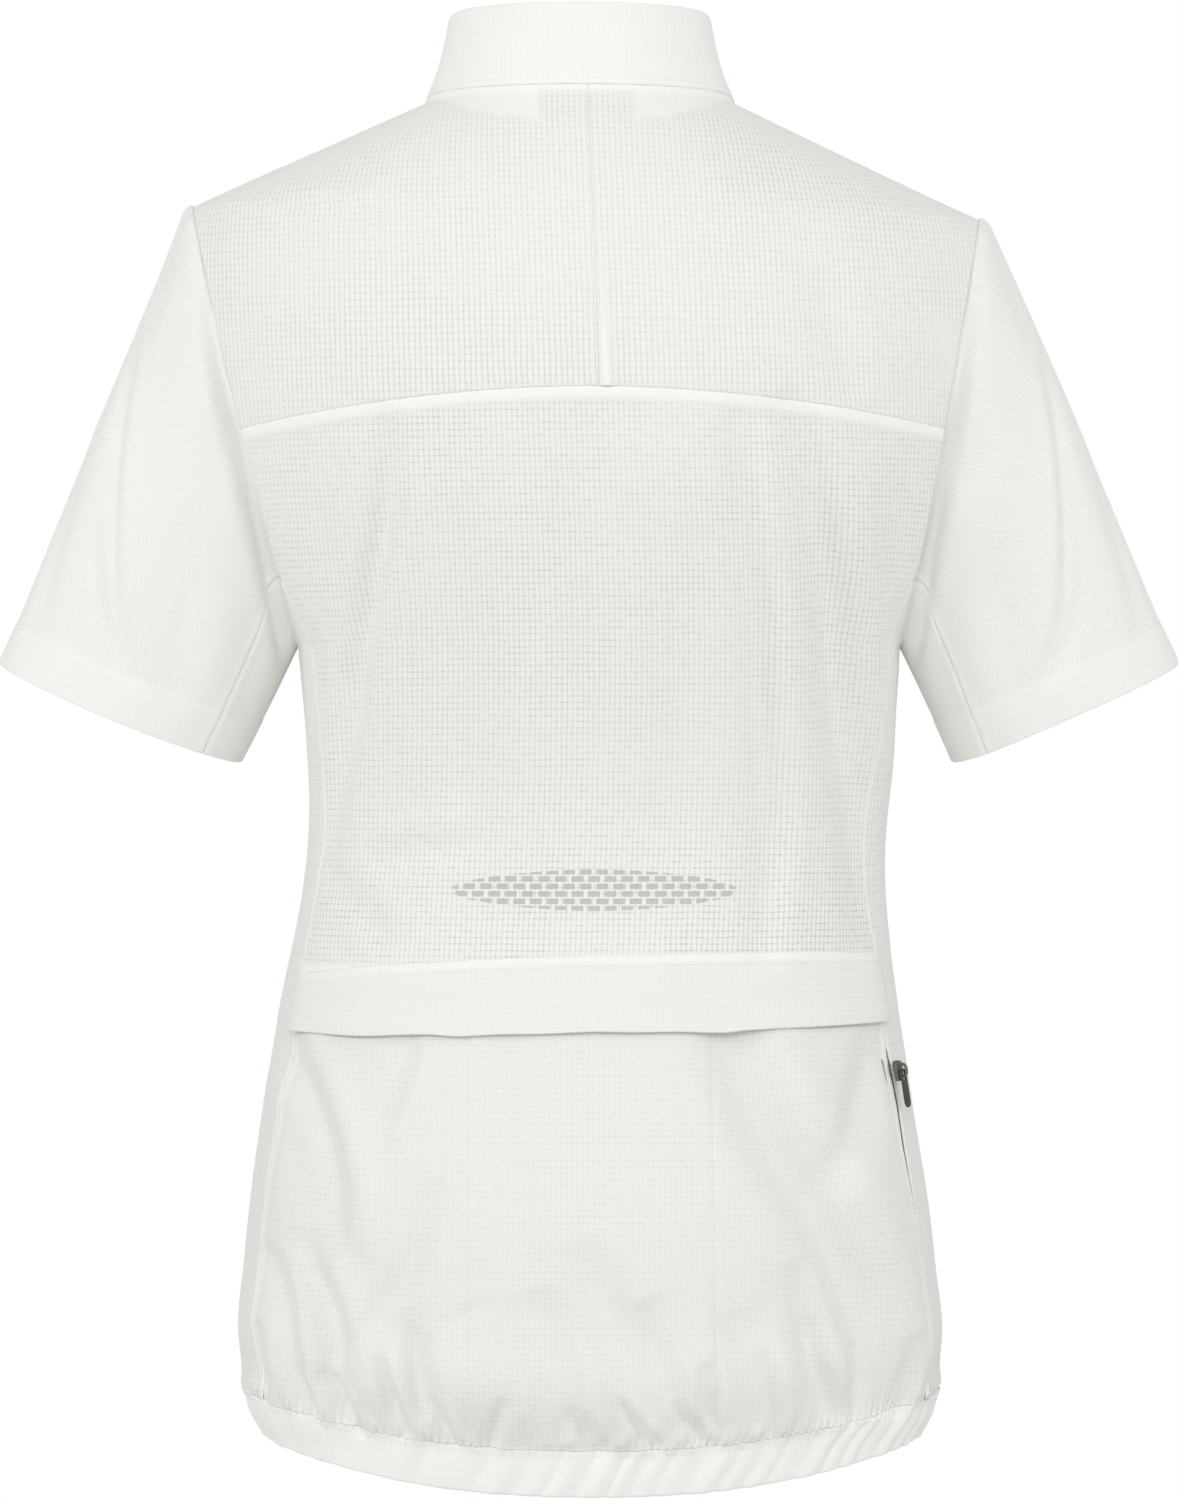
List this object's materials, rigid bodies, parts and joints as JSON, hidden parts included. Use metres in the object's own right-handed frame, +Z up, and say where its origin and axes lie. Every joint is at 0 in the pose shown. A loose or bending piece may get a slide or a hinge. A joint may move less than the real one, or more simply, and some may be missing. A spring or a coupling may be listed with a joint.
{
  "type": "cycling jersey",
  "caption": "Short-sleeved cycling jersey with stand collar, back yoke, flat back pockets with a flap, side pocket zip, front zip and gathered elastic hem.",
  "frame": {"origin": "the middle of the neck, level with the points where the shoulder seams meet the collar", "axes": "+Z up, -Y the front, +X the wearer's left"},
  "size_m": [0.5552, 0.2492, 0.6822],
  "materials": {
    "mesh_cloth": "open grid knit",
    "plain_cloth": "smooth knit",
    "zip_coil": "woven tape and coil",
    "zip_metal": "satin",
    "pull_tab": "matte"
  },
  "bodies": {
    "jersey": {"back_panel": "mesh_cloth", "back_pocket": "plain_cloth", "collar": "plain_cloth", "front_left": "mesh_cloth", "front_right": "mesh_cloth", "front_zip_coil": "zip_coil", "front_zip_slider": "zip_metal", "hem_band": "plain_cloth", "neck_facing_left": "plain_cloth", "neck_facing_right": "plain_cloth", "pocket_flap": "plain_cloth", "pocket_zip_coil": "zip_coil", "pocket_zip_slider": "zip_metal", "side_left": "mesh_cloth", "side_right": "mesh_cloth", "sleeve_left": "mesh_cloth", "sleeve_right": "mesh_cloth", "under_sleeve_left": "plain_cloth", "under_sleeve_right": "plain_cloth", "yoke_left": "mesh_cloth", "yoke_right": "mesh_cloth"},
    "front_tab": {"front_zip_tab": "pull_tab"},
    "pocket_tab": {"pocket_zip_tab": "pull_tab"}
  },
  "joints": [
    {"name": "front_tab_swing", "type": "hinge", "parent": "jersey", "child": "front_tab", "pos_m": [0.00346, -0.05835, -0.02451], "axis": [-1, 0, 0], "range_deg": [0, 160]},
    {"name": "pocket_tab_swing", "type": "hinge", "parent": "jersey", "child": "pocket_tab", "pos_m": [-0.14517, 0.0437, -0.45101], "axis": [0.4702, 0.8815, 0.0441], "range_deg": [0, 160]}
  ]
}
